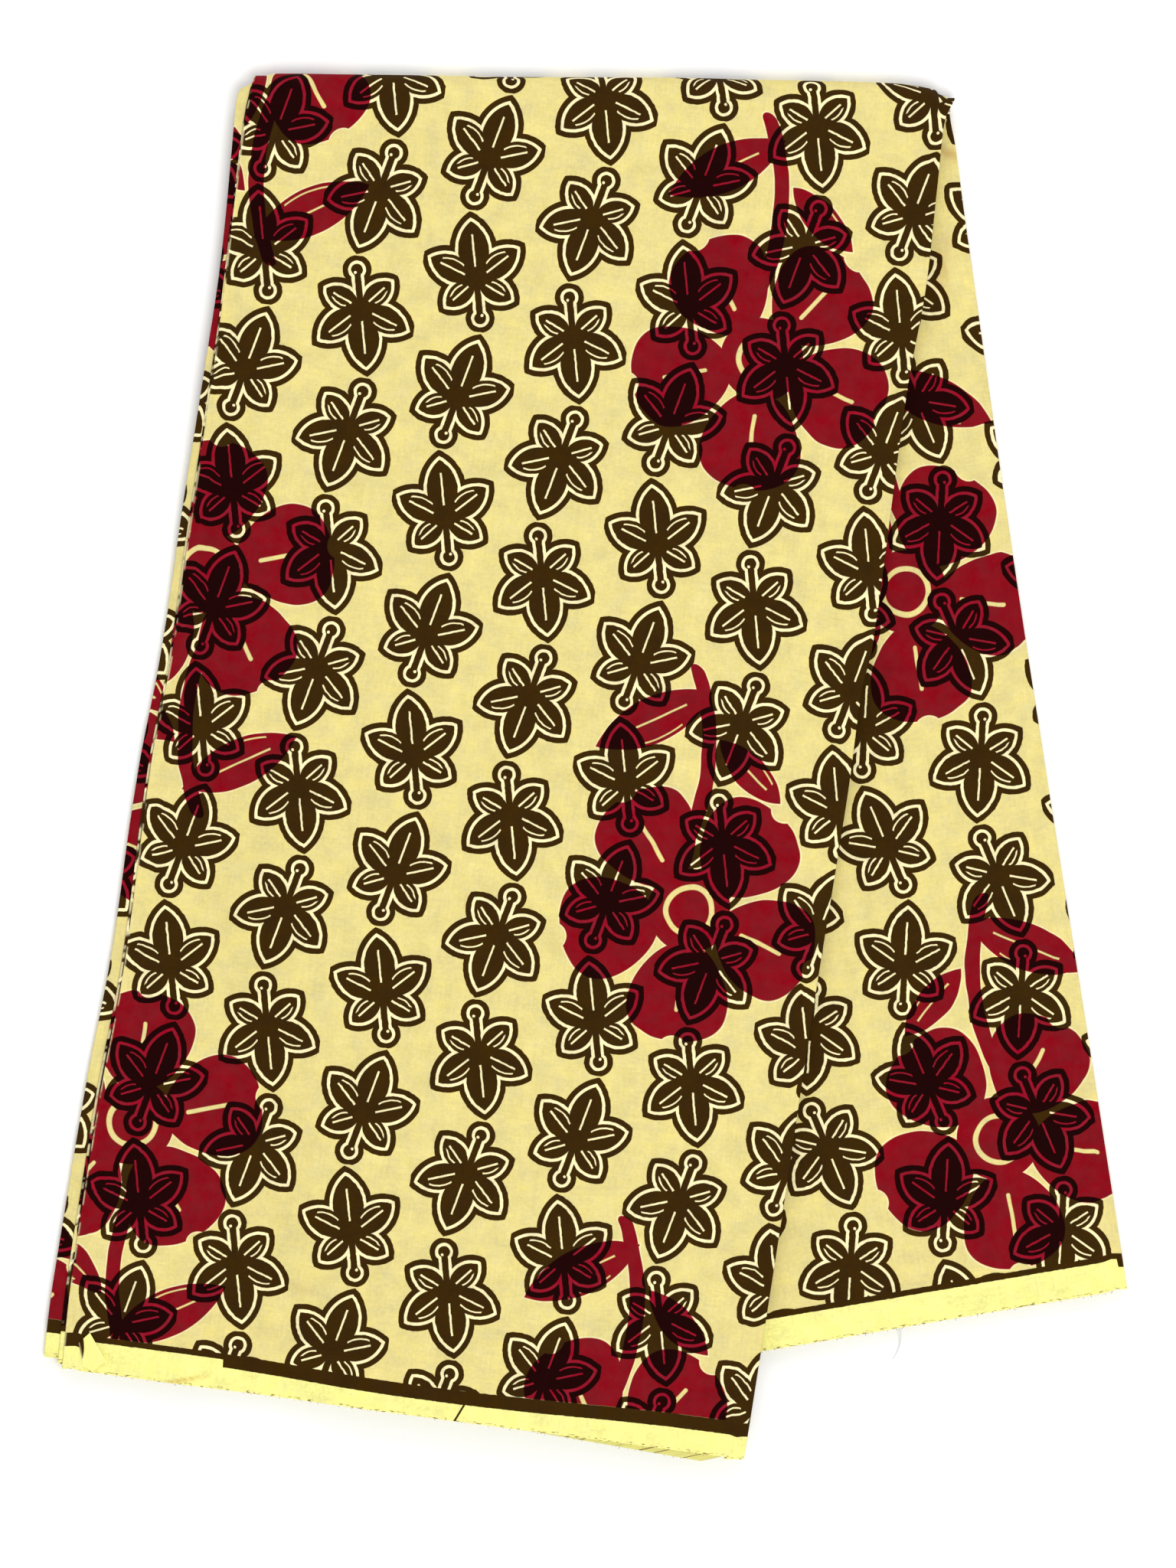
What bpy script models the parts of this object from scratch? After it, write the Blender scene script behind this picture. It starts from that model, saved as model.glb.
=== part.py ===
"""A full piece of printed cotton cloth, pleated into a strip and folded in half over the top.

Its two arms are fanned apart and lie flat on a table. +X is the viewer's right, +Y runs to the
top fold, and +Z is up. Sizes in this file are millimetres. Each mesh is made in metres.
"""

import math
from collections import namedtuple

import bmesh
import bpy
from mathutils import Vector

MM = 0.001

# The cloth and how it is stacked
SHEET_WALL = 1.0
SEAM_GAP = 0.3
FRONT_STACK = 3.4
REAR_STACK = 5.0

# The top bend, a half circle seen from the side
BEND_RADIUS = 8.0
BEND_RISE_LENGTH = 55.0
REAR_RISE = 1.0
BEND_CORE_RADIUS = 0.7

# The slope where the front arm comes down off the rear arm's left edge
RAMP_CLEAR = 31.0
RAMP_LENGTH = 50.0

# How fast the strip's edges move to the right as it runs over the bend
BEND_SLANT = 0.15

# Edges of the front arm: distance below the top edge, the sheet's left and right edge, and how
# far each pleat shows outside the left edge
FrontRow = namedtuple("FrontRow", "below left right inner_pleat outer_pleat")
FRONT_EDGES = (
    FrontRow(0.0, -150.3, 169.1, 1.0, 5.0),
    FrontRow(100.0, -162.5, 155.2, 1.0, 4.5),
    FrontRow(200.0, -176.7, 139.6, 1.4, 5.2),
    FrontRow(300.0, -193.4, 122.6, 1.6, 5.6),
    FrontRow(400.0, -207.3, 108.3, 1.6, 8.0),
    FrontRow(500.0, -223.9, 92.7, 2.0, 8.9),
    FrontRow(640.0, -243.6, 71.2, 2.4, 9.6),
)

# Edges of the rear arm
RearRow = namedtuple("RearRow", "below left right")
REAR_EDGES = (
    RearRow(0.0, -150.3, 166.8),
    RearRow(100.0, -138.0, 179.0),
    RearRow(200.0, -123.5, 193.5),
    RearRow(300.0, -108.5, 208.8),
    RearRow(400.0, -93.5, 223.9),
    RearRow(500.0, -77.5, 239.9),
    RearRow(620.0, -59.0, 258.0),
)

# How far the top edge drops towards the right
TopRow = namedtuple("TopRow", "across drop")
TOP_EDGE = (
    TopRow(-150.0, 0.0),
    TopRow(-45.0, 2.2),
    TopRow(69.0, 2.8),
    TopRow(121.0, 3.8),
    TopRow(160.0, 7.0),
    TopRow(170.0, 9.5),
)

# Where each stretch ends below the top fold, at the left and at the right of its arm
Ends = namedtuple("Ends", "left right")
SHEET_ENDS = Ends(587.5, 628.1)
INNER_PLEAT_ENDS = Ends(584.0, 627.0)
OUTER_PLEAT_ENDS = Ends(581.5, 627.0)
FRONT_LAYER_ENDS = Ends(582.0, 631.0)
REAR_ENDS = Ends(604.0, 551.5)
REAR_LAYER_ENDS = Ends(602.0, 550.0)

# How far the layers stay inside the edge of the sheet that covers them
COVERED_INSET = 0.8
REAR_COVERED_INSET = 0.6

# The dog-ear on the front sheet, measured along the arm from the sheet's bottom left corner
CORNER_ACROSS = (5.0, 23.0)
CORNER_UP = (3.5, 17.5)
CORNER_SKEW = 5.0

# Grid of each surface: cells across and along
FRONT_CELLS = (16, 18)
REAR_CELLS = (8, 12)
BEND_CELLS = 8
CORNER_CELLS = 2

# Shares of the front arm's width that take in its widest layer, pleats and all
WIDEST_LEFT = -0.04
WIDEST_RIGHT = 1.02

# Folds that show at each layered edge
FRONT_FOLDS = 4
REAR_FOLDS = 5
BEND_FOLDS = 5
SHEET_FOLDS = 1

# The deepest groove between two folds at a layered edge, and the roll of a single sheet's edge
GROOVE = 1.0
SHEET_ROLL = 0.35

# Rings up the edge of one fold: height within the fold, and share of the groove
FoldRing = namedtuple("FoldRing", "height share")
FOLD_RINGS = (FoldRing(0.0, 1.0), FoldRing(0.22, 0.15), FoldRing(0.78, 0.15))

# Edges sharper than this stay sharp in the shading
SHARP_ANGLE = math.radians(50.0)

YELLOW = (0.84, 0.72, 0.28)
PALE_YELLOW = (0.90, 0.82, 0.42)
SHADED_YELLOW = (0.70, 0.58, 0.22)
COTTON_ROUGHNESS = 0.8


def mix(a, b, share):
    return a + (b - a) * share


def eased(share):
    share = min(1.0, max(0.0, share))
    return share * share * (3.0 - 2.0 * share)


def from_table(rows, key, column, place):
    """The column's value at a place between two rows of a table."""
    for row, after in zip(rows, rows[1:]):
        start, end = getattr(row, key), getattr(after, key)
        if place <= end:
            break
    return mix(getattr(row, column), getattr(after, column), (place - start) / (end - start))


def front_edge(column, below):
    return from_table(FRONT_EDGES, "below", column, below)


def rear_edge(column, below):
    return from_table(REAR_EDGES, "below", column, below)


def bend_start(across):
    """How far below the top edge's highest point the arms begin and the bend ends."""
    return BEND_RADIUS + from_table(TOP_EDGE, "across", "drop", across)


def arm_place(edge, ends, u, v):
    """Place across and below at share u across and share v down an arm."""
    top_across = mix(edge("left", BEND_RADIUS), edge("right", BEND_RADIUS), u)
    below = mix(bend_start(top_across), mix(ends.left, ends.right, u), v)
    return mix(edge("left", below), edge("right", below), u), below


def rise_near_bend(across, below, height):
    """The stack grows towards the bend, where its folds spring apart."""
    return height * (1.0 - eased((below - bend_start(across)) / BEND_RISE_LENGTH))


REAR_TOP = REAR_STACK + SEAM_GAP + SHEET_WALL
FRONT_TOP_AT_BEND = 2.0 * BEND_RADIUS
FRONT_THICKNESS = FRONT_STACK + 3.0 * (SEAM_GAP + SHEET_WALL)
FRONT_BASE_AT_BEND = FRONT_TOP_AT_BEND - FRONT_THICKNESS
FRONT_BASE_ON_REAR = REAR_TOP + SEAM_GAP
FRONT_RISE = FRONT_BASE_AT_BEND - FRONT_BASE_ON_REAR


def front_base(across, below):
    """Height of the front arm's underside: on the rear arm, down the slope, or on the table."""
    beside = across - rear_edge("left", below) + RAMP_CLEAR + RAMP_LENGTH
    lifted = eased(beside / RAMP_LENGTH)
    return lifted * (FRONT_BASE_ON_REAR + rise_near_bend(across, below, FRONT_RISE))


# The front arm's surfaces share these columns, so that their faces stay parallel
FRONT_COLUMNS = [i / FRONT_CELLS[0] for i in range(FRONT_CELLS[0] + 1)]
FRONT_COLUMNS[0] = WIDEST_LEFT
FRONT_COLUMNS[-1] = WIDEST_RIGHT


def on_front(ends, u, v):
    """Across, below and height of the front arm's underside, straight between the columns."""
    for start, end in zip(FRONT_COLUMNS, FRONT_COLUMNS[1:]):
        if u <= end:
            break
    sides = []
    for column in (start, end):
        across, below = arm_place(front_edge, ends, column, v)
        sides.append(Vector((across, below, front_base(across, below))))
    return sides[0].lerp(sides[1], (u - start) / (end - start))


def front_shares(below, left_inset, right_inset):
    """The shared columns, but for a layer's own left and right edges."""
    width = front_edge("right", below) - front_edge("left", below)
    return [left_inset / width, *FRONT_COLUMNS[1:-1], 1.0 - right_inset / width]


def on_table(across, below, height):
    return Vector((across, -below, height)) * MM


def on_bend(across, below, height, angle):
    """A point of the front arm carried round the bend by an angle."""
    reach = height - BEND_RADIUS
    return Vector(
        (
            across + BEND_SLANT * BEND_RADIUS * angle,
            -below + reach * math.sin(angle),
            BEND_RADIUS + reach * math.cos(angle),
        )
    ) * MM


def front_rows(ends, left_inset, right_inset, low, high, first_gap=SEAM_GAP):
    """Rows of lower and upper points of one layer of the front arm, from the bend down."""
    rows = []
    for j in range(FRONT_CELLS[1] + 1):
        v = j / FRONT_CELLS[1]
        row_ends = ends if j == FRONT_CELLS[1] else SHEET_ENDS
        _, left_below = arm_place(front_edge, row_ends, 0.0, v)
        row = []
        for u in front_shares(left_below, left_inset(left_below), right_inset):
            across, below, base = on_front(row_ends, u, v)
            if j == 0:
                below += first_gap
            row.append((on_table(across, below, base + low), on_table(across, below, base + high)))
        rows.append(row)
    return rows


def bend_rows(left_inset, right_inset, low, high):
    """Rows of one layer round the bend, from the table up to the front arm."""
    rows = []
    for j in range(BEND_CELLS + 1):
        angle = math.pi * (1.0 - j / BEND_CELLS)
        row = []
        for u in front_shares(BEND_RADIUS, left_inset, right_inset):
            across, below, _ = on_front(SHEET_ENDS, u, 0.0)
            row.append((on_bend(across, below, low, angle), on_bend(across, below, high, angle)))
        rows.append(row)
    return rows


def rear_rows(ends, inset, low, high):
    rows = []
    for j in range(REAR_CELLS[1] + 1):
        v = j / REAR_CELLS[1]
        row = []
        for i in range(REAR_CELLS[0] + 1):
            width = rear_edge("right", 0.0) - rear_edge("left", 0.0)
            u = mix(inset / width, 1.0 - inset / width, i / REAR_CELLS[0])
            across, below = arm_place(rear_edge, ends, u, v)
            if j == 0:
                below += SEAM_GAP
            rise = rise_near_bend(across, below, REAR_RISE)
            lower = low + (rise if low > 0.0 else 0.0)
            row.append((on_table(across, below, lower), on_table(across, below, high + rise)))
        rows.append(row)
    return rows


def edge_rings(folds, groove):
    """Rings up a layered edge: share of the height, and how far the edge is drawn in."""
    rings = []
    for k in range(folds):
        for ring in FOLD_RINGS:
            rings.append(((k + ring.height) / folds, ring.share * groove))
    rings.append((1.0, groove))
    return rings


def perimeter(columns, rows):
    """Grid places once round the edge, anticlockwise from above with row 0 at the top."""
    left = [(0, j) for j in range(rows)]
    bottom = [(i, rows) for i in range(columns)]
    right = [(columns, j) for j in range(rows, 0, -1)]
    top = [(i, 0) for i in range(columns, 0, -1)]
    return left + bottom + right + top


def cloth_solid(name, rows, folds, groove, colour):
    """A closed solid between the lower and upper points, its edge rounded into folds."""
    row_count = len(rows) - 1
    column_count = len(rows[0]) - 1
    edge = perimeter(column_count, row_count)
    mesh_maker = bmesh.new()

    rings = []
    for share, inset in edge_rings(folds, groove):
        ring = {}
        for k, (i, j) in enumerate(edge):
            lower, upper = rows[j][i]
            before = rows[edge[k - 1][1]][edge[k - 1][0]][0]
            after_i, after_j = edge[(k + 1) % len(edge)]
            after = rows[after_j][after_i][0]
            inward = (upper - lower).cross(after - before).normalized()
            place = lower.lerp(upper, share) + inward * inset * MM
            ring[(i, j)] = mesh_maker.verts.new(place)
        rings.append(ring)

    for ring, above in zip(rings, rings[1:]):
        for k, here in enumerate(edge):
            following = edge[(k + 1) % len(edge)]
            mesh_maker.faces.new((ring[here], ring[following], above[following], above[here]))

    for side, ring in ((0, rings[0]), (1, rings[-1])):
        points = dict(ring)
        for j in range(1, row_count):
            for i in range(1, column_count):
                points[(i, j)] = mesh_maker.verts.new(rows[j][i][side])
        for j in range(row_count):
            for i in range(column_count):
                here, below, beyond, beside = (i, j), (i, j + 1), (i + 1, j + 1), (i + 1, j)
                for corners in ((here, below, beyond), (here, beyond, beside)):
                    turned = corners if side == 1 else corners[::-1]
                    mesh_maker.faces.new([points[corner] for corner in turned])

    mesh = bpy.data.meshes.new(name)
    mesh_maker.to_mesh(mesh)
    mesh_maker.free()
    mesh.shade_smooth()
    mesh.set_sharp_from_angle(angle=SHARP_ANGLE)
    mesh.materials.append(cotton(name, colour))
    solid = bpy.data.objects.new(name, mesh)
    bpy.context.scene.collection.objects.link(solid)
    return solid


def cotton(name, colour):
    material = bpy.data.materials.new(f"{name}_cotton")
    material.use_nodes = True
    shader = material.node_tree.nodes["Principled BSDF"]
    shader.inputs["Base Color"].default_value = (*colour, 1.0)
    shader.inputs["Roughness"].default_value = COTTON_ROUGHNESS
    shader.inputs["Metallic"].default_value = 0.0
    return material


def make_front_layers():
    rows = front_rows(
        FRONT_LAYER_ENDS,
        lambda below: COVERED_INSET - front_edge("outer_pleat", below),
        2.0 * COVERED_INSET,
        0.0,
        FRONT_STACK,
    )
    return cloth_solid("front_layers", rows, FRONT_FOLDS, GROOVE, SHADED_YELLOW)


def make_left_pleat(name, ends, column, step):
    low = FRONT_STACK + SEAM_GAP + step * (SHEET_WALL + SEAM_GAP)
    rows = front_rows(
        ends,
        lambda below: -front_edge(column, below),
        COVERED_INSET,
        low,
        low + SHEET_WALL,
    )
    return cloth_solid(name, rows, SHEET_FOLDS, SHEET_ROLL, YELLOW)


def make_front_sheet():
    """From the front selvedge up the arm and right round the bend to the table."""
    low = FRONT_THICKNESS - SHEET_WALL
    arm = front_rows(SHEET_ENDS, lambda below: 0.0, 0.0, low, FRONT_THICKNESS, first_gap=0.0)
    bend = bend_rows(0.0, 0.0, FRONT_TOP_AT_BEND - SHEET_WALL, FRONT_TOP_AT_BEND)
    return cloth_solid("front_sheet", bend[:-1] + arm, SHEET_FOLDS, SHEET_ROLL, YELLOW)


def make_top_fold():
    """The hidden layers round the bend. Their left ends show past the front sheet."""
    rows = bend_rows(
        -front_edge("outer_pleat", BEND_RADIUS),
        COVERED_INSET,
        BEND_RADIUS + BEND_CORE_RADIUS,
        FRONT_TOP_AT_BEND - SHEET_WALL - SEAM_GAP,
    )
    return cloth_solid("top_fold", rows, BEND_FOLDS, GROOVE, SHADED_YELLOW)


def make_rear_layers():
    rows = rear_rows(REAR_LAYER_ENDS, REAR_COVERED_INSET, 0.0, REAR_STACK)
    return cloth_solid("rear_layers", rows, REAR_FOLDS, GROOVE, SHADED_YELLOW)


def make_rear_sheet():
    rows = rear_rows(REAR_ENDS, 0.0, REAR_STACK + SEAM_GAP, REAR_TOP)
    return cloth_solid("rear_sheet", rows, SHEET_FOLDS, SHEET_ROLL, YELLOW)


def make_turned_corner():
    """The corner of the front sheet, turned over and lying on it."""
    corner_across = front_edge("left", SHEET_ENDS.left)
    low = FRONT_THICKNESS + SEAM_GAP
    rows = []
    for j in range(CORNER_CELLS + 1):
        up = mix(CORNER_UP[1], CORNER_UP[0], j / CORNER_CELLS)
        row = []
        for i in range(CORNER_CELLS + 1):
            share = i / CORNER_CELLS
            across = corner_across + mix(*CORNER_ACROSS, share)
            across += CORNER_SKEW * (1.0 - j / CORNER_CELLS)
            below = SHEET_ENDS.left - up + CORNER_SKEW * share
            row.append((on_table(across, below, low), on_table(across, below, low + SHEET_WALL)))
        rows.append(row)
    return cloth_solid("turned_corner", rows, SHEET_FOLDS, SHEET_ROLL, PALE_YELLOW)


def centre_on_table(solids):
    """Moves the middle of the whole piece over the origin."""
    places = [solid.matrix_world @ vertex.co for solid in solids for vertex in solid.data.vertices]
    middle_x = (min(p.x for p in places) + max(p.x for p in places)) / 2.0
    middle_y = (min(p.y for p in places) + max(p.y for p in places)) / 2.0
    for solid in solids:
        solid.location = (-middle_x, -middle_y, 0.0)


def main():
    for old in list(bpy.data.objects):
        bpy.data.objects.remove(old)
    solids = [
        make_rear_layers(),
        make_rear_sheet(),
        make_top_fold(),
        make_front_layers(),
        make_left_pleat("left_pleat_outer", OUTER_PLEAT_ENDS, "outer_pleat", 0),
        make_left_pleat("left_pleat_inner", INNER_PLEAT_ENDS, "inner_pleat", 1),
        make_front_sheet(),
        make_turned_corner(),
    ]
    centre_on_table(solids)


main()
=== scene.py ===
"""Looks of a full piece of wax-printed cotton, pleated into a strip and folded over the top.

Sizes and places are millimetres. Across runs to the viewer's right, and below runs down from the
highest point of the top fold. Meshes are made in metres.
"""
import math
import random
from collections import namedtuple

import bmesh
import bpy
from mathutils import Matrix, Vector, noise


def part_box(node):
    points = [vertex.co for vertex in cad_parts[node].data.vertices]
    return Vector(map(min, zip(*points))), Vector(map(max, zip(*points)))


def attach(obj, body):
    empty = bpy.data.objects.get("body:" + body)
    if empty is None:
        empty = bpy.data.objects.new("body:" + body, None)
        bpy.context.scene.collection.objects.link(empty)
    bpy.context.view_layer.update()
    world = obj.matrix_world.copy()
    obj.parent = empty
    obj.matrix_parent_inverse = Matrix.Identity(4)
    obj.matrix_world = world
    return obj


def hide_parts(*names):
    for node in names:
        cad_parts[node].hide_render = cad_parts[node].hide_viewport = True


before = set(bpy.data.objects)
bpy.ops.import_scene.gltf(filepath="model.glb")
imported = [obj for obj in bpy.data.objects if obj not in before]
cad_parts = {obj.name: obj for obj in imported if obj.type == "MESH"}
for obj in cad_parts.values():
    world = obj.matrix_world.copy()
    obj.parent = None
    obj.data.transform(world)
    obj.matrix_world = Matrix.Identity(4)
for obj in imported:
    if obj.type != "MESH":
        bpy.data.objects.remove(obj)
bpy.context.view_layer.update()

MM = 0.001

# The cloth
CLOTH_WIDTH = 1200.0
STRIP_WIDTH = 313.4
CLOTH_THICKNESS = 0.35

# How the solids are stacked
SHEET_WALL = 1.0
SEAM_GAP = 0.3
FRONT_STACK = 3.4
REAR_STACK = 5.0
REAR_TOP = REAR_STACK + SEAM_GAP + SHEET_WALL
FRONT_THICKNESS = FRONT_STACK + 3.0 * (SEAM_GAP + SHEET_WALL)

# The top bend, and the slope where the front arm comes down off the rear arm's left edge
BEND_RADIUS = 8.0
BEND_RISE_LENGTH = 55.0
BEND_SLANT = 0.15
TIP_FLARE = 4.2
TIP_REACH = 24.0
REAR_RISE = 1.0
RAMP_CLEAR = 31.0
RAMP_LENGTH = 50.0
FRONT_BASE_AT_BEND = 2.0 * BEND_RADIUS - FRONT_THICKNESS
FRONT_BASE_ON_REAR = REAR_TOP + SEAM_GAP
FRONT_RISE = FRONT_BASE_AT_BEND - FRONT_BASE_ON_REAR

# Side edges of the two arms: below, across
FRONT_LEFT = (
    (0.0, -147.9), (20.5, -152.6), (62.8, -158.0), (124.0, -165.6), (210.0, -178.5),
    (267.0, -186.8), (312.5, -195.5), (406.0, -208.0), (465.0, -219.1), (548.0, -231.9),
    (587.5, -236.1),
)
FRONT_RIGHT = (
    (4.0, 169.0), (9.7, 169.0), (14.4, 166.8), (21.0, 164.2), (27.4, 163.0), (51.0, 160.6),
    (98.6, 155.2), (144.0, 146.9), (260.0, 131.2), (280.0, 126.4), (328.0, 119.8), (423.0, 104.5),
    (513.0, 91.0), (611.0, 75.7), (628.0, 72.9),
)
REAR_LEFT = ((0.0, -150.3), (200.0, -123.5), (400.0, -93.5), (604.0, -61.4))
REAR_RIGHT = (
    (8.0, 166.2), (20.0, 166.6), (31.6, 168.8), (61.4, 172.8), (112.6, 180.0), (203.5, 192.9),
    (328.5, 212.0), (453.5, 231.8), (551.5, 247.0),
)

# How far the top edge drops below its highest point: across, drop
TOP_EDGE = (
    (-158.0, 5.8), (-149.0, 0.6), (-140.0, 0.0), (-110.0, 0.3), (-66.0, 0.9), (-35.0, 1.5),
    (45.0, 1.9), (76.0, 2.7), (121.0, 3.6), (145.0, 4.6), (155.0, 6.0), (161.0, 7.6),
    (165.0, 9.2), (170.0, 11.4),
)

# How far each pleat shows outside the front sheet's left edge: below, reveal
OUTER_REVEAL = (
    (0.0, 7.0), (27.0, 4.8), (75.0, 3.8), (160.0, 5.0), (280.0, 5.5), (370.0, 6.9), (410.0, 7.5),
    (500.0, 7.9), (587.0, 9.2),
)
INNER_REVEAL = ((0.0, 1.0), (150.0, 1.3), (330.0, 1.7), (480.0, 2.2), (587.0, 2.6))

# Where each stretch ends below the top fold, at the left and at the right of its arm
Ends = namedtuple("Ends", "left right")
SHEET_ENDS = Ends(587.5, 628.1)
INNER_PLEAT_ENDS = Ends(585.5, 626.5)
OUTER_PLEAT_ENDS = Ends(583.4, 626.0)
FRONT_LAYER_ENDS = Ends(580.5, 625.5)
REAR_ENDS = Ends(604.0, 551.5)
REAR_LAYER_ENDS = Ends(602.4, 550.2)

# One layer of the front arm has slid down and shows below the front sheet, short of its corner
PEEKING_LAYER = 7
PEEKING_ENDS = Ends(579.0, 632.5)
PEEKING_INSET = 19.0

# Fold at a sheet's side: radius of the turn, how far the cloth is turned under, steps round
# the turn, and how far in the sheet's middle columns start
FOLD_RADIUS = (SHEET_WALL - CLOTH_THICKNESS) / 2.0
TUCK = (9.0, 5.0, 2.2, 1.0)
TURN_STEPS = 6
MIDDLE_START = 7.5
SHEET_SHARP_ANGLE = math.radians(55.0)

# Grid of each piece
FRONT_COLUMNS = 112
FRONT_ROWS = 230
REAR_COLUMNS = 96
REAR_ROWS = 190
END_ROWS = 34
END_SHARE = 0.05
BEND_ROWS = 16
STACK_COLUMNS = 60
STACK_ROWS = 130
CORNER_CELLS = 14

# The piles of layers, and how their folds are rounded
FRONT_LAYER_COUNT = 9
REAR_LAYER_COUNT = 14
GROOVE = 0.75
END_GROOVE = 0.55
ROUNDING = 0.15
FACE_START, FACE_STOP = 0.22, 0.78
TOP_ROUNDING = 0.4
FOLD_WAVE = 0.5
FOLD_WAVE_LENGTH = 60.0
RIGHT_SIDE_SEED = 40.0
LAYER_SHIFT = (-1.6, 0.9)
COVERED_INSET = 0.9
PLEAT_STEP = (0.6, -0.7)
PILE_SHARP_ANGLE = math.radians(70.0)

# Soft creases: middle, lean from the arm's length, size, height (below zero is a trough), and
# how far the line bows
Crease = namedtuple("Crease", "across below lean length width height bow")
FRONT_CREASES = (
    Crease(-96.0, 70.0, 62.0, 90.0, 5.0, -0.35, 3.0),
    Crease(20.0, 118.0, 84.0, 120.0, 7.0, 0.30, -4.0),
    Crease(96.0, 60.0, 12.0, 70.0, 5.0, -0.30, 2.0),
    Crease(-130.0, 182.0, 28.0, 80.0, 6.0, 0.28, 3.0),
    Crease(60.0, 236.0, 70.0, 110.0, 6.0, -0.32, 6.0),
    Crease(112.0, 276.0, 72.0, 46.0, 4.0, -0.60, 2.0),
    Crease(114.0, 292.0, 80.0, 38.0, 3.5, 0.50, -1.5),
    Crease(-40.0, 320.0, 8.0, 150.0, 8.0, 0.32, 5.0),
    Crease(-150.0, 352.0, 75.0, 80.0, 5.0, -0.30, -3.0),
    Crease(50.0, 402.0, 52.0, 95.0, 6.0, 0.30, 4.0),
    Crease(-112.0, 452.0, 86.0, 130.0, 7.0, -0.34, 5.0),
    Crease(12.0, 508.0, 18.0, 90.0, 5.0, -0.30, -3.0),
    Crease(-180.0, 528.0, 14.0, 90.0, 6.0, 0.34, 2.0),
    Crease(-60.0, 566.0, 78.0, 100.0, 5.0, -0.30, 3.0),
    Crease(-181.0, 592.6, 101.0, 30.0, 0.8, -0.9, 0.6),
    Crease(-179.0, 590.2, 101.0, 40.0, 2.6, 0.7, 0.8),
    Crease(-127.0, 551.0, 80.0, 22.0, 1.6, -0.25, 0.5),
    Crease(48.0, 590.0, 82.0, 60.0, 5.0, 0.30, 2.0),
)
REAR_CREASES = (
    Crease(164.5, 82.0, -3.0, 62.0, 3.2, 0.75, 1.0),
    Crease(171.0, 60.0, 10.0, 40.0, 2.6, -0.50, 1.0),
    Crease(165.5, 36.0, 76.0, 18.0, 2.4, -0.60, 0.4),
    Crease(163.0, 88.0, -6.0, 44.0, 2.2, -0.45, 0.6),
    Crease(186.0, 232.0, 64.0, 44.0, 5.0, 0.35, 2.0),
    Crease(160.0, 318.0, -12.0, 110.0, 6.0, -0.40, 3.0),
    Crease(196.0, 402.0, 70.0, 66.0, 6.0, 0.36, -3.0),
    Crease(132.0, 452.0, -8.0, 120.0, 5.0, 0.40, 4.0),
    Crease(137.0, 549.0, -4.0, 70.0, 2.6, 0.50, 1.0),
    Crease(214.0, 496.0, 30.0, 60.0, 6.0, -0.36, 2.0),
    Crease(0.0, 590.0, -60.0, 60.0, 6.0, -0.20, 2.0),
)

# A crease runs out at this many of its widths, is uneven along its length, and where it is
# tight it gets a painted tan shade
CREASE_REACH = 3.0
CREASE_UNEVENNESS = 0.4
CREASE_WAVES = 2.5
TIGHT_CREASE = 2.5
CREASE_SHADE_STRENGTH = 0.95

# Slow waves of the lying cloth: length of a wave and height. They are longer down the arm
RIPPLES = ((95.0, 0.26), (38.0, 0.12), (14.0, 0.035))
RIPPLE_STRETCH = 0.7

# How a sheet lies: its ripples' seed, how far it is raised, how far in from a side it is free,
# and the share of its relief that is left at the side
Relief = namedtuple("Relief", "creases seed raised side_reach side_share")
FRONT_RELIEF = Relief(FRONT_CREASES, 3.0, 0.0, 14.0, 0.35)
REAR_RELIEF = Relief(REAR_CREASES, 11.0, 0.2, 10.0, 0.4)
RELIEF_DEPTH = 0.35
FRONT_REST = 0.1
BEND_FLATTENING = 0.7
REAR_FREE_FROM = 1.0
REAR_FREE_REACH = 10.0

# Places where a selvedge has lifted off the layers
Lift = namedtuple("Lift", "share half_width reach height")
FRONT_LIFTS = (Lift(0.165, 0.075, 26.0, 2.2), Lift(0.62, 0.16, 20.0, 0.7))
REAR_LIFTS = (Lift(0.56, 0.1, 20.0, 0.9), Lift(0.93, 0.08, 16.0, 1.2))

# The dog-ear: its fold and its free side, from below upwards, along the selvedge and in from
# it, then its height over the sheet and where its print starts, stops and how fast it runs
DOG_EAR_FOLD = ((9.1, 2.4), (8.2, 6.3), (5.9, 12.6))
DOG_EAR_FREE_SIDE = ((14.0, 0.6), (19.4, 6.2), (10.4, 17.9))
DOG_EAR_LIFTS = (0.6, 1.7, 1.2)
DOG_EAR_PRINT = (8.9, 12.7, 0.8)

# Grains of noise
Grain = namedtuple("Grain", "scale detail roughness")

# The print, on the flat cloth. The selvedge's dark stripe bows: middle, reach each way and depth.
# The bare plates rise into it. The slanted mark: middle, lean, span and half width
SELVEDGE_WIDTH = 10.3
STRIPE_TOP = 16.5
STRIPE_BOW = (170.0, 115.0, 2.5)
PLATE_RISE = 3.5
NEAR_PLATE = (9.0, 72.0)
FAR_PLATE = (336.0, 532.6)
REAR_PRINT_START = 222.0
SLANTED_MARK = ((181.4, 4.3), 24.0, (-4.6, 4.6), 0.48)
PRINT_WOBBLE = 0.5
WOBBLE_GRAIN = Grain(420.0, 1.0, 0.5)
PRINT_EDGE = 0.22

# Brown specks along the cut
SPECK_BAND = 1.1
SPECK_BAND_SOFTNESS = 0.5
SPECK_GRAIN = Grain(1.0, 1.0, 0.5)
SPECK_STRETCH = (420.0, 1500.0, 1.0)
SPECK_CUT = 0.6
SPECK_SOFTNESS = 0.06
SPECK_STRENGTH = 0.8

# The sprigs
SPRIG_REPEAT = (48.5, 54.5)
SPRIG_TILT = 13.0
PALE_LINE = 1.35
DARK_LINE = 2.55

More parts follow.
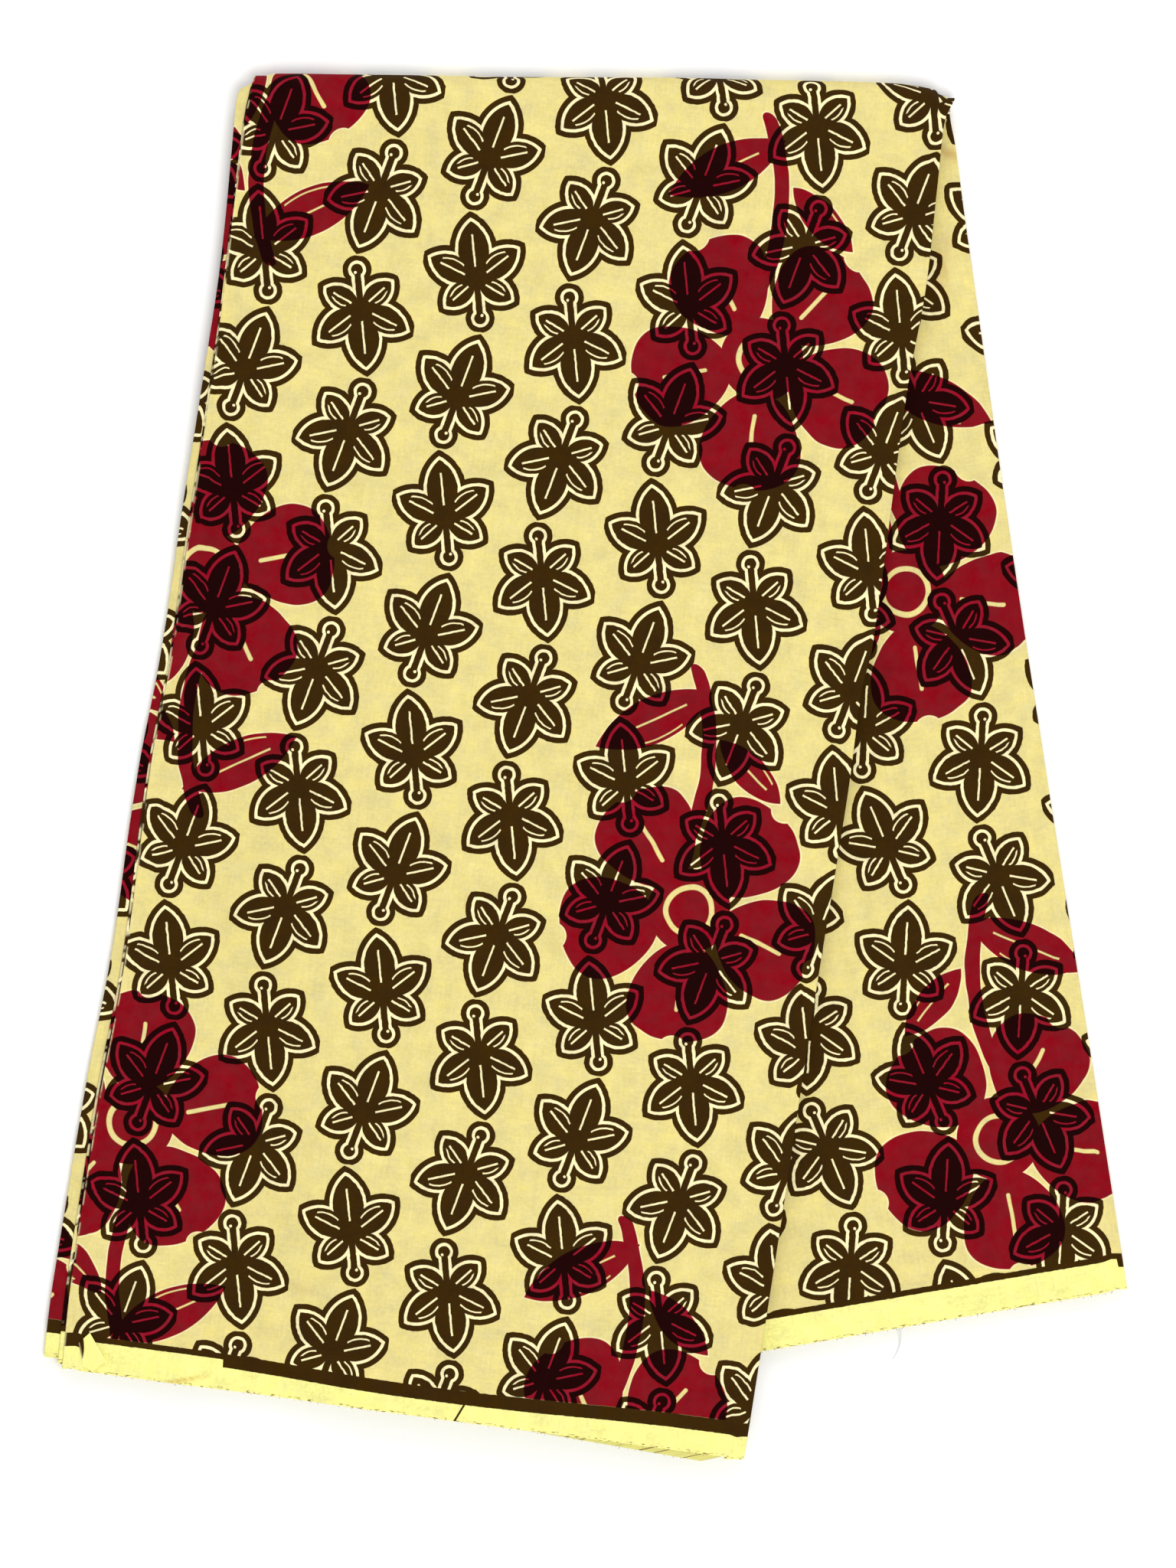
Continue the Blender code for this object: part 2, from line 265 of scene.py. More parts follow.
Leaf = namedtuple("Leaf", "across up lean half_length half_width")
SPRIG_LEAVES = (
    Leaf(0.0, 9.4, 0.0, 13.4, 7.0),
    Leaf(10.2, 2.2, 58.0, 11.2, 5.9),
    Leaf(7.8, -9.4, 126.0, 8.6, 4.9),
)
SPRIG_STEM = (-21.5, -2.0)
STEM_HALF_WIDTH = 1.5
SPRIG_HUB = (-4.3, 2.8)
BERRY_RADIUS = 2.7
BERRY_SHINE = (0.9, 1.2)
RIB_HALF_WIDTH = 0.42
RIB_SHARE = 0.55
SHINE_INSET = 1.9
SHINE_HALF_WIDTH = 0.32
SHINE_RISE = 0.1
SHINE_SHARE = 0.45

# The large flowers
FLOWER_REPEAT = (236.0, 252.0)
FLOWER_START = (100.0, 10.0)
PETALS = 5
PETAL_REACH = 37.0
PETAL_RADIUS = 22.5
PETAL_FLARE = (1.42, 0.0112)
PETAL_NOTCH = (63.5, 6.5)
PETAL_VEIN = (26.0, 45.0, 0.9)
FLOWER_HEART = 19.0
HEART_RING = (10.5, 1.2)
FLOWER_STEM = (-108.0, -18.0)
FLOWER_STEM_HALF_WIDTH = 3.4
FLOWER_STEM_BOW = 0.005
FLOWER_LEAVES = (Leaf(27.0, -84.0, 58.0, 29.0, 10.5), Leaf(-19.0, -66.0, -50.0, 20.0, 7.5))
FLOWER_WOBBLE = 2.0
SWAY_GRAIN = Grain(60.0, 1.0, 0.5)
FLOWER_RIM = 0.45
FLOWER_EDGE = 0.4

# Fold lines: dye lost along them, and a painted highlight on the fold's edge, in pale dashes
FOLD_WEAR_AND_HIGHLIGHT_REACH = 0.5
FOLD_WEAR_AND_HIGHLIGHT_SOFTNESS = 0.6
FAR_FROM_FOLD = 30.0
WEAR_AND_HIGHLIGHT_GRAIN = Grain(1.0, 2.0, 0.5)
WEAR_AND_HIGHLIGHT_STRETCH = (30.0, 120.0, 1.0)
DASH_SOFTNESS = 0.08

# The weave, and its thick and thin threads
WARP_PITCH = 0.30
WEFT_PITCH = 0.34
OVER_UNDER = 0.3
SLUB_HEIGHT = 0.8
SLUB_GRAIN = Grain(1.0, 2.0, 0.6)
SLUB_STRETCHES = ((60.0, 2600.0, 1.0), (2900.0, 50.0, 1.0))

# Handling: clouds, flecks, faded places, wide and close crumples, and how they are weighed
HANDLING_GRAINS = (
    Grain(90.0, 3.0, 0.6), Grain(620.0, 2.0, 0.6), Grain(130.0, 3.0, 0.6),
    Grain(45.0, 3.0, 0.55), Grain(260.0, 2.0, 0.55),
)
CLOUD_SHARE = 0.6
TINT_DEPTH = 0.9
FADED_DEPTH = 0.65
CLOSE_CRUMPLE = 0.25

# The finish of each material slot
Finish = namedtuple(
    "Finish", "name tint_low tint_high slub depth mottle wear crumple thread roughness sheen"
)
# One field of each finish weighs the pale fold dashes: lost dye and a painted highlight
FINISHES = {
    "printed_cotton": Finish(
        "printed_cotton", 0.64, 1.36, 0.45, 0.38, 0.36, 0.7, 0.12, 0.03, 0.84, 0.01
    ),
    "layer_edges": Finish(
        "layer_edge_cotton", 0.80, 1.06, 0.18, 0.15, 0.3, 0.5, 0.08, 0.03, 0.88, 0.01
    ),
    "cotton_reverse": Finish(
        "reverse_cotton", 0.90, 1.16, 0.30, 0.2, 0.3, 0.3, 0.14, 0.03, 0.86, 0.01
    ),
}
DYE_HOLD = 0.7
DYE_SMOOTHING = 0.05
WEAVE_ROUGHNESS = 0.12
SHEEN_ROUGHNESS = 0.5
COTTON_SPECULAR = 0.04

# Cut threads along the selvedges, and one that is pulled out
SELVEDGE_STEPS = 60
THREAD_SPACING = 3.4
THREAD_LENGTH = 1.1
THREAD_RADIUS = 0.07
THREAD_SIDES = 4
THREAD_ROOT = 0.3
THREAD_SIZES = (0.25, 1.3)
THREAD_TURNS = ((-0.2, 0.0, -0.9), (0.45, 0.0, 0.9))
THREAD_SEED = 4
THREAD_ROUGHNESS = 0.8
FUZZ_GRAIN = Grain(900.0, 2.0, 0.5)
FUZZ_ROUGHNESS = 0.15
LOOSE_THREAD = (
    (143.6, 566.4), (144.4, 571.2), (144.9, 575.6), (143.2, 580.4), (141.0, 583.6)
)
LOOSE_THREAD_RADIUS = 0.24
LOOSE_THREAD_REST = 1.6

# Camera and photograph
PHOTO_HEIGHT = 2048
MM_PER_PIXEL = 0.3472
CAMERA_OFFSET = (0.9, -6.9)
CAMERA_HEIGHT = 4.0
FOCUS_HEIGHT = 0.009
SENSOR = 36.0

# Floor and light
FLOOR_HALF_SIZE = 6.0
FLOOR_GAP = 0.1
FLOOR_GREY = 0.985
FLOOR_ROUGHNESS = 0.9
FLOOR_SPECULAR = 0.1
WORLD_STRENGTH = 0.6
Lamp = namedtuple("Lamp", "name place size power")
LAMPS = (
    Lamp("soft_key", (0.4, -0.8, 2.6), 1.5, 36.5),
    Lamp("soft_fill", (0.1, 2.0, 1.5), 1.6, 18.0),
)


def colour(red, green, blue):
    """A screen colour, 0 to 255, as the renderer's linear values, with its alpha."""
    linear = [
        part / 12.92 if part <= 0.04045 else ((part + 0.055) / 1.055) ** 2.4
        for part in (red / 255.0, green / 255.0, blue / 255.0)
    ]
    return (*linear, 1.0)


# Tan of the shade painted into tight creases
CREASE_SHADE_TAN = colour(214, 176, 128)
GROUND_YELLOW = colour(224, 209, 137)
SELVEDGE_YELLOW = colour(243, 238, 145)
PALE_CONTOUR = colour(246, 234, 181)
DARK_BROWN = colour(55, 35, 4)
CRIMSON_DYE = colour(147, 21, 57)
SPECK_BROWN = colour(104, 36, 24)
THREAD_COLOUR = colour(176, 152, 104)


# Small helpers


def mix(a, b, share):
    return a + (b - a) * share


def eased(share):
    share = min(1.0, max(0.0, share))
    return share * share * (3.0 - 2.0 * share)


def slope_at(rows, i):
    before, after = rows[max(i - 1, 0)], rows[min(i + 1, len(rows) - 1)]
    return (after[1] - before[1]) / (after[0] - before[0])


def smooth(rows, place):
    """The value at a place on a smooth curve through a table's rows of place and value."""
    i = next((k for k in range(len(rows) - 2) if place <= rows[k + 1][0]), len(rows) - 2)
    start, low = rows[i]
    end, high = rows[i + 1]
    if place < start:
        return low + slope_at(rows, i) * (place - start)
    if place > end:
        return high + slope_at(rows, i + 1) * (place - end)
    span = end - start
    t = (place - start) / span
    ease_in = t * (1.0 - t) ** 2 * span * slope_at(rows, i)
    ease_out = t * t * (1.0 - t) * span * slope_at(rows, i + 1)
    return mix(low, high, eased(t)) + ease_in - ease_out


# Where the cloth lies

ACROSS_AT_ORIGIN = 247.6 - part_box("rear_sheet")[1].x / MM
BELOW_AT_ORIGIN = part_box("front_sheet")[1].y / MM


def at(across, below, height):
    return Vector((across - ACROSS_AT_ORIGIN, BELOW_AT_ORIGIN - below, height)) * MM


def bend_start(across):
    return BEND_RADIUS + smooth(TOP_EDGE, across)


def near_bend(across, below):
    """One at the bend, falling to zero where the arm lies flat."""
    return 1.0 - eased((below - bend_start(across)) / BEND_RISE_LENGTH)


def front_settle(across, below, height):
    """The front arm lies on the table, comes up a slope and lies on the rear arm."""
    beside = across - smooth(REAR_LEFT, below) + RAMP_CLEAR + RAMP_LENGTH
    lifted = eased(beside / RAMP_LENGTH)
    return height + lifted * (FRONT_BASE_ON_REAR + FRONT_RISE * near_bend(across, below))


def rear_settle(across, below, height):
    return height + REAR_RISE * near_bend(across, below) * min(1.0, height / REAR_STACK)


class Arm:
    """One arm of the strip, with share u across it and share v down it."""

    def __init__(self, left, right, ends, settle):
        self.left = left
        self.right = right
        self.ends = ends
        self.settle = settle
        self.top_left = smooth(left, BEND_RADIUS)
        self.top_right = smooth(right, BEND_RADIUS)
        self.corner = Vector((smooth(left, ends.left), ends.left))
        far_corner = Vector((smooth(right, ends.right), ends.right))
        self.selvedge = (far_corner - self.corner).normalized()

    def place(self, u, v, ends=None):
        ends = ends or self.ends
        start = bend_start(mix(self.top_left, self.top_right, u))
        below = mix(start, mix(ends.left, ends.right, u), v)
        return mix(smooth(self.left, below), smooth(self.right, below), u), below

    def width(self, below):
        return smooth(self.right, below) - smooth(self.left, below)

    def on_cloth(self, across, below):
        """The point's place on the flat cloth: along the selvedge, and in from it."""
        reach = Vector((across, below)) - self.corner
        return reach.dot(self.selvedge), reach.x * self.selvedge.y - reach.y * self.selvedge.x

    def from_cloth(self, along, inward):
        up = Vector((self.selvedge.y, -self.selvedge.x))
        return self.corner + self.selvedge * along + up * inward

    def point(self, across, below, height, angle=0.0):
        """A point of the arm, or of the bend where an angle carries it round."""
        if angle == 0.0:
            return at(across, below, self.settle(across, below, height))
        reach = FRONT_BASE_AT_BEND + height - BEND_RADIUS
        slant = BEND_SLANT * (1.0 - eased((across - self.top_left) / STRIP_WIDTH))
        flare = TIP_FLARE * eased((across - self.top_right) / TIP_REACH + 1.0)
        return at(
            across + slant * BEND_RADIUS * angle + flare * math.sin(angle),
            below - reach * math.sin(angle),
            BEND_RADIUS + reach * math.cos(angle),
        )


FRONT = Arm(FRONT_LEFT, FRONT_RIGHT, SHEET_ENDS, front_settle)
REAR = Arm(REAR_LEFT, REAR_RIGHT, REAR_ENDS, rear_settle)

Station = namedtuple("Station", "v angle")


def arm_stations(count, end_rows=0):
    """Even rows down the arm, with closer ones near its end where asked."""
    if not end_rows:
        return [Station(j / count, 0.0) for j in range(count + 1)]
    upper = [Station((1.0 - END_SHARE) * j / count, 0.0) for j in range(count)]
    lower = [Station(1.0 - END_SHARE * (1.0 - j / end_rows), 0.0) for j in range(end_rows + 1)]
    return upper + lower


def bent_stations(count, end_rows=0):
    """From the table, round the bend and down the front arm."""
    bend = [Station(0.0, math.pi * (1.0 - j / BEND_ROWS)) for j in range(BEND_ROWS)]
    return bend + arm_stations(count, end_rows)


def print_at(arm, along, inward, angle=0.0):
    """Texture coordinates in metres. The rear arm ends in the cloth's far selvedge."""
    inward += BEND_RADIUS * angle
    if arm is REAR:
        return (along + REAR_PRINT_START) * MM, (CLOTH_WIDTH - inward) * MM
    return along * MM, inward * MM


# Relief of the lying sheets


def crease_height(crease, across, below):
    lean = math.radians(crease.lean)
    right, down = across - crease.across, below - crease.below
    along = (right * math.sin(lean) + down * math.cos(lean)) / (0.5 * crease.length)
    if abs(along) >= 1.0:
        return 0.0
    aside = right * math.cos(lean) - down * math.sin(lean) - crease.bow * along * along
    if abs(aside) > CREASE_REACH * crease.width:
        return 0.0
    place = Vector((along * CREASE_WAVES, crease.across, crease.below))
    uneven = 1.0 + CREASE_UNEVENNESS * noise.noise(place)
    faded = (1.0 - along * along) ** 2
    return crease.height * uneven * faded * math.exp(-((aside / crease.width) ** 2))


def ripple(across, below, seed):
    down = RIPPLE_STRETCH * below
    return sum(
        height * noise.noise(Vector((across / length, down / length, seed + length)))
        for length, height in RIPPLES
    )


def lift_height(lifts, u, to_end):
    total = 0.0
    for lift in lifts:
        sideways = 1.0 - eased(abs(u - lift.share) / lift.half_width)
        total += lift.height * sideways * (1.0 - eased(to_end / lift.reach))
    return total


def lying_relief(relief, across, below, from_side):
    """Ripples and creases, held down near a side and nowhere deeper than the layers allow."""
    height = relief.raised + ripple(across, below, relief.seed)
    height += sum(crease_height(crease, across, below) for crease in relief.creases)
    free = eased(from_side * STRIP_WIDTH / relief.side_reach)
    return max(height, -RELIEF_DEPTH * free) * mix(relief.side_share, 1.0, free)


def front_relief(across, below, u, to_end):
    height = lying_relief(FRONT_RELIEF, across, below, min(u, 1.0 - u)) + FRONT_REST
    height *= 1.0 - BEND_FLATTENING * near_bend(across, below)
    return height + lift_height(FRONT_LIFTS, u, to_end)


def rear_relief(across, below, u, to_end):
    """The rear sheet lies still under the front arm and is free beside it."""
    beside = across - smooth(FRONT_RIGHT, min(below, SHEET_ENDS.right)) + REAR_FREE_FROM
    height = lying_relief(REAR_RELIEF, across, below, 1.0 - u)
    return eased(beside / REAR_FREE_REACH) * height + lift_height(REAR_LIFTS, u, to_end)


# Meshes


def linked_object(name, data):
    linked = bpy.data.objects.new(name, data)
    bpy.context.scene.collection.objects.link(linked)
    return linked


def cloth_object(name, points, faces, corners, from_fold):
    """A mesh object. Its corners know their place on the flat cloth, and its points how many
    millimetres they are from a fold."""
    mesh = bpy.data.meshes.new(name)
    mesh.from_pydata(points, [], faces)
    cloth = mesh.uv_layers.new(name="cloth")
    cloth.uv.foreach_set("vector", [part for corner in corners for part in corner])
    fold = mesh.attributes.new("from_fold", "FLOAT", "POINT")
    fold.data.foreach_set("value", from_fold)
    mesh.shade_smooth()
    return linked_object(name, mesh)


def grid_faces(row_count, column_count):
    faces = []
    for j in range(row_count - 1):
        for i in range(column_count - 1):
            here = j * column_count + i
            faces.append((here, here + column_count, here + column_count + 1, here + 1))
    return faces


def finished(piece):
    """The piece with its modifiers made part of its mesh."""
    depsgraph = bpy.context.evaluated_depsgraph_get()
    mesh = bpy.data.meshes.new_from_object(
        piece.evaluated_get(depsgraph), preserve_all_data_layers=True, depsgraph=depsgraph
    )
    piece.modifiers.clear()
    piece.data = mesh
    mesh.shade_smooth()
    mesh.set_sharp_from_angle(angle=SHEET_SHARP_ANGLE)
    return piece


def thickened(piece):
    wall = piece.modifiers.new("cloth_thickness", "SOLIDIFY")
    wall.thickness = CLOTH_THICKNESS * MM
    wall.offset = 0.0
    wall.use_even_offset = True
    return finished(piece)


# The two top sheets

Column = namedtuple("Column", "share shift rise beyond")


def side_columns(share, inward):
    """Columns of one side of a sheet, from the turned leg round the fold to the top."""
    columns = []
    quarter = 0.5 * math.pi * FOLD_RADIUS
    for reach in TUCK:
        columns.append(Column(share, inward * reach, 0.0, -inward * (quarter + reach)))
    for step in range(TURN_STEPS + 1):
        turn = math.pi * step / TURN_STEPS
        shift = FOLD_RADIUS * (1.0 - math.sin(turn))
        rise = FOLD_RADIUS * (1.0 - math.cos(turn))
        beyond = FOLD_RADIUS * (turn - 0.5 * math.pi)
        columns.append(Column(share, inward * shift, rise, inward * beyond))
    for reach in TUCK[:0:-1]:
        columns.append(Column(share, inward * reach, 2.0 * FOLD_RADIUS, inward * reach))
    return columns


def sheet_columns(cells):
    first = math.ceil(MIDDLE_START / STRIP_WIDTH * cells)
    middle = [
        Column(i / cells, 0.0, 2.0 * FOLD_RADIUS, FAR_FROM_FOLD)
        for i in range(first, cells - first + 1)
    ]
    return side_columns(0.0, 1.0) + middle + side_columns(1.0, -1.0)[::-1]


def make_sheet(name, arm, stations, cells, low, relief, creases):
    """A thin sheet whose two sides are turned under."""
    columns = sheet_columns(cells)
    tight = [crease for crease in creases if crease.width < TIGHT_CREASE]
    points, places, troughs = [], [], []
    for station in stations:
        for column in columns:
            across, below = arm.place(column.share, station.v)
            along, inward = arm.on_cloth(across, below)
            across += column.shift
            to_end = (1.0 - station.v) * (mix(*arm.ends, column.share) - BEND_RADIUS)
            u = column.share + column.shift / STRIP_WIDTH
            height = low + column.rise
            if station.angle == 0.0:
                upper = column.rise / (2.0 * FOLD_RADIUS)
                height += upper * relief(across, below, u, to_end)
            # How deep the tight creases are at each point, from which the material paints a tan
            # shade
            troughs.append(-sum(min(0.0, crease_height(crease, across, below)) for crease in tight))
            points.append(arm.point(across, below, height, station.angle))
            beyond = column.beyond if column.share in (0.0, 1.0) else 0.0
            places.append(print_at(arm, along + beyond, inward, station.angle))
    faces = grid_faces(len(stations), len(columns))
    corners = [places[index] for face in faces for index in face]
    from_fold = [
        abs(column.beyond) if column.share < 0.5 else FAR_FROM_FOLD for column in columns
    ] * len(stations)
    piece = cloth_object(name, points, faces, corners, from_fold)
    trough = piece.data.attributes.new("trough", "FLOAT", "POINT")
    trough.data.foreach_set("value", troughs)
    return thickened(piece)


def make_front_sheet():
    low = FRONT_THICKNESS - SHEET_WALL + 0.5 * CLOTH_THICKNESS
    return make_sheet(
        "front_top_sheet", FRONT, bent_stations(FRONT_ROWS, END_ROWS), FRONT_COLUMNS, low,
        front_relief, FRONT_CREASES,
    )


def make_rear_sheet():
    low = REAR_TOP - SHEET_WALL + 0.5 * CLOTH_THICKNESS
    return make_sheet(
        "rear_top_sheet", REAR, arm_stations(REAR_ROWS, END_ROWS), REAR_COLUMNS, low,
        rear_relief, REAR_CREASES,
    )


# The piles of folded layers

Layer = namedtuple("Layer", "right ends")
Ring = namedtuple("Ring", "layer height left_fold left right_fold right ends")


def shifted(ends, shift):
    return Ends(ends.left + shift, ends.right + shift)


def pile_rings(layers, low, high):
    """Rings up the side of a pile. Layers are joined in folds, two by two, left then right."""
    wall = (high - low) / len(layers)
    rings = []
    for k, layer in enumerate(layers):
        under = layers[max(k - 1, 0)]
        joined_left = k % 2 == 1
        joined_right = k % 2 == 0 and k > 0
        inner_right = layer.right if joined_right else max(layer.right, under.right) + GROOVE
        inner_ends = Ends(
            min(layer.ends.left, under.ends.left), min(layer.ends.right, under.ends.right)
        )
        folds = (k // 2, (k + 1) // 2)
        rings.append(
            Ring(k, low + k * wall, folds[0], 0.0 if joined_left else GROOVE,
                 folds[1], inner_right, shifted(inner_ends, -END_GROOVE))
        )
        for share, left_open, right_open in (
            (FACE_START, not joined_left, not joined_right),
            (FACE_STOP, joined_left, joined_right),
        ):
            left = ROUNDING * GROOVE if left_open else 0.0
            right = layer.right + (ROUNDING * GROOVE if right_open else 0.0)
            rings.append(
                Ring(k, low + (k + share) * wall, folds[0], left, folds[1], right, layer.ends)
            )
    last = rings[-1]
    rings.append(
        last._replace(
            height=high, left=last.left + TOP_ROUNDING, right=last.right + TOP_ROUNDING,
            ends=shifted(last.ends, -TOP_ROUNDING * END_GROOVE),
        )
    )
    return rings


def perimeter(columns, rows):
    """Grid places once round the edge, anticlockwise from above with row 0 at the top."""
    left = [(0, j) for j in range(rows)]
    bottom = [(i, rows) for i in range(columns)]
    right = [(columns, j) for j in range(rows, 0, -1)]
    top = [(i, 0) for i in range(columns, 0, -1)]
    return left + bottom + right + top


def layer_place(layer, along):
    """How far along the cloth a point of a layer is, as the pleats run left and right."""
    if layer % 2 == 0:
        return layer * STRIP_WIDTH - along
    return (layer - 1) * STRIP_WIDTH + along


def make_pile(
    name, arm, stations, layers, low, high, left_inset, seed, print_start, worn=True
):
    """A closed pile of layers, its sides rounded into folds and its end cut layer by layer."""
    rings = pile_rings(layers, low, high)
    row_count = len(stations) - 1

    def grid_point(ring, i, j):
        station = stations[j]
        _, left_below = arm.place(0.0, station.v)
        width = arm.width(left_below)
        down = left_below / FOLD_WAVE_LENGTH
        waves = (down, seed, ring.left_fold), (down, seed + RIGHT_SIDE_SEED, ring.right_fold)
        left_wave, right_wave = (FOLD_WAVE * (0.5 + noise.noise(Vector(wave))) for wave in waves)
        left = left_inset(left_below) + ring.left + left_wave
        right = ring.right + right_wave
        u = mix(left / width, 1.0 - right / width, i / STACK_COLUMNS)
        across, below = arm.place(u, station.v, ring.ends)
        if arm is REAR and j == 0:
            below += SEAM_GAP
        inward = arm.on_cloth(across, below)[1] - arm.on_cloth(*arm.place(u, 1.0, ring.ends))[1]
        point = arm.point(across, below, ring.height, station.angle)
        return point, (i / STACK_COLUMNS * STRIP_WIDTH, inward, station.angle)

    points, places, from_fold = [], [], []

    def add(ring, i, j):
        point, place = grid_point(ring, i, j)
        points.append(point)
        places.append(place)
        from_side = min(i, STACK_COLUMNS - i) / STACK_COLUMNS * STRIP_WIDTH
        # Distance from a folded side, near which the material paints pale dashes of lost dye and a
        # painted highlight
        from_fold.append(from_side if worn else FAR_FROM_FOLD)
        return len(points) - 1

    def corner_place(index, layer):
        along, inward, angle = places[index]
        return print_at(arm, print_start + layer_place(layer, along), inward, angle)

    edge = perimeter(STACK_COLUMNS, row_count)
    faces, corners = [], []

    def add_face(face, layer):
        faces.append(face)
        corners.extend(corner_place(index, layer) for index in face)

    loops = [{place: add(ring, *place) for place in edge} for ring in rings]
    for ring, loop, above in zip(rings, loops, loops[1:]):
        for here, following in zip(edge, edge[1:] + edge[:1]):
            face = (loop[here], loop[following], above[following], above[here])
            add_face(face, ring.layer)

    for ring, loop, top in ((rings[0], loops[0], False), (rings[-1], loops[-1], True)):
        grid = dict(loop)
        for j in range(1, row_count):
            for i in range(1, STACK_COLUMNS):
                grid[(i, j)] = add(ring, i, j)
        for j in range(row_count):
            for i in range(STACK_COLUMNS):
                face = (grid[(i, j)], grid[(i, j + 1)], grid[(i + 1, j + 1)], grid[(i + 1, j)])
                add_face(face if top else face[::-1], ring.layer)

    piece = cloth_object(name, points, faces, corners, from_fold)
    piece.data.set_sharp_from_angle(angle=PILE_SHARP_ANGLE)
    return piece


def uneven_layers(count, right, ends, seed):
    chance = random.Random(seed)
    return [Layer(right, shifted(ends, chance.uniform(*LAYER_SHIFT))) for _ in range(count)]


def make_front_layers():
    layers = uneven_layers(FRONT_LAYER_COUNT, 2.0 * COVERED_INSET, FRONT_LAYER_ENDS, seed=5)
    layers[PEEKING_LAYER] = Layer(PEEKING_INSET, PEEKING_ENDS)
    return make_pile(
        "front_hidden_layers", FRONT, bent_stations(STACK_ROWS), layers, 0.0, FRONT_STACK,
        lambda below: COVERED_INSET - smooth(OUTER_REVEAL, below), seed=5.0, print_start=1216.0,
    )


def make_pleat(name, ends, reveal, step, **printed):
    """A pleat of two layers, at its step above the hidden ones."""
    low = FRONT_STACK + SEAM_GAP + step * (SHEET_WALL + SEAM_GAP)
    step_in, step_up = PLEAT_STEP
    layers = [Layer(COVERED_INSET, ends), Layer(COVERED_INSET + step_in, shifted(ends, step_up))]
    return make_pile(
        name, FRONT, bent_stations(STACK_ROWS), layers, low, low + SHEET_WALL,
        lambda below: -smooth(reveal, below), seed=20.0 + step, **printed,
    )


def make_outer_pleat():
    return make_pleat(
        "left_outer_pleat", OUTER_PLEAT_ENDS, OUTER_REVEAL, 0, print_start=281.7, worn=False
    )


def make_inner_pleat():
    return make_pleat("left_inner_pleat", INNER_PLEAT_ENDS, INNER_REVEAL, 1, print_start=22.0)


def make_rear_layers():
    layers = uneven_layers(REAR_LAYER_COUNT, COVERED_INSET, REAR_LAYER_ENDS, seed=8)
    return make_pile(
        "rear_hidden_layers", REAR, arm_stations(STACK_ROWS), layers, 0.0, REAR_STACK,
        lambda below: COVERED_INSET, seed=9.0, print_start=400.0,
    )


def make_dog_ear():
    """The sheet's turned corner, hinged on its left side and lying on the sheet."""
    points, places, from_fold = [], [], []
    low = FRONT_THICKNESS + SEAM_GAP + 0.5 * CLOTH_THICKNESS
    for j in range(2 * CORNER_CELLS + 1):
        part = min(j // CORNER_CELLS, 1)
        up = j / CORNER_CELLS - part
        fold = Vector(DOG_EAR_FOLD[part]).lerp(Vector(DOG_EAR_FOLD[part + 1]), up)
        free = Vector(DOG_EAR_FREE_SIDE[part]).lerp(Vector(DOG_EAR_FREE_SIDE[part + 1]), up)
        lift = mix(DOG_EAR_LIFTS[part], DOG_EAR_LIFTS[part + 1], up)
        for i in range(CORNER_CELLS + 1):
            out = i / CORNER_CELLS
            along, inward = fold.lerp(free, out)
            across, below = FRONT.from_cloth(along, inward)
            points.append(FRONT.point(across, below, low + lift * eased(out)))
            out_of_fold = (free - fold).length * out
            lowest, highest, run = DOG_EAR_PRINT
            start = mix(lowest, highest, j / (2.0 * CORNER_CELLS))
            places.append(print_at(FRONT, fold.x - out_of_fold, start - run * out_of_fold))
            from_fold.append(out_of_fold)
    faces = grid_faces(2 * CORNER_CELLS + 1, CORNER_CELLS + 1)
    corners = [places[index] for face in faces for index in face]
    return thickened(cloth_object("turned_corner_cloth", points, faces, corners, from_fold))


# Nodes


def feed(socket, value):
    """Links a field or a socket into a socket, or sets its value."""
    if isinstance(value, Field):
        value = value.socket
    if isinstance(value, bpy.types.NodeSocket):
        socket.id_data.links.new(value, socket)
    else:
        socket.default_value = value


def add_node(tree, kind, inputs=(), **settings):
    """A new node with its settings made and its inputs fed."""
    node = tree.nodes.new(kind)
    for key, value in settings.items():
        setattr(node, key, value)
    for key, value in dict(inputs).items():
        feed(node.inputs[key], value)
    return node


def new_group(name, inputs, outputs, kind="ShaderNodeTree"):
    """A node group, the sockets that it is given and the ones that it fills."""
    tree = bpy.data.node_groups.new(name, kind)
    for way, sockets in (("INPUT", inputs), ("OUTPUT", outputs)):
        for socket, holds in sockets.items():
            tree.interface.new_socket(socket, in_out=way, socket_type=f"NodeSocket{holds}")
    return tree, tree.nodes.new("NodeGroupInput").outputs, tree.nodes.new("NodeGroupOutput").inputs


# Threads of the selvedges, by Geometry Nodes


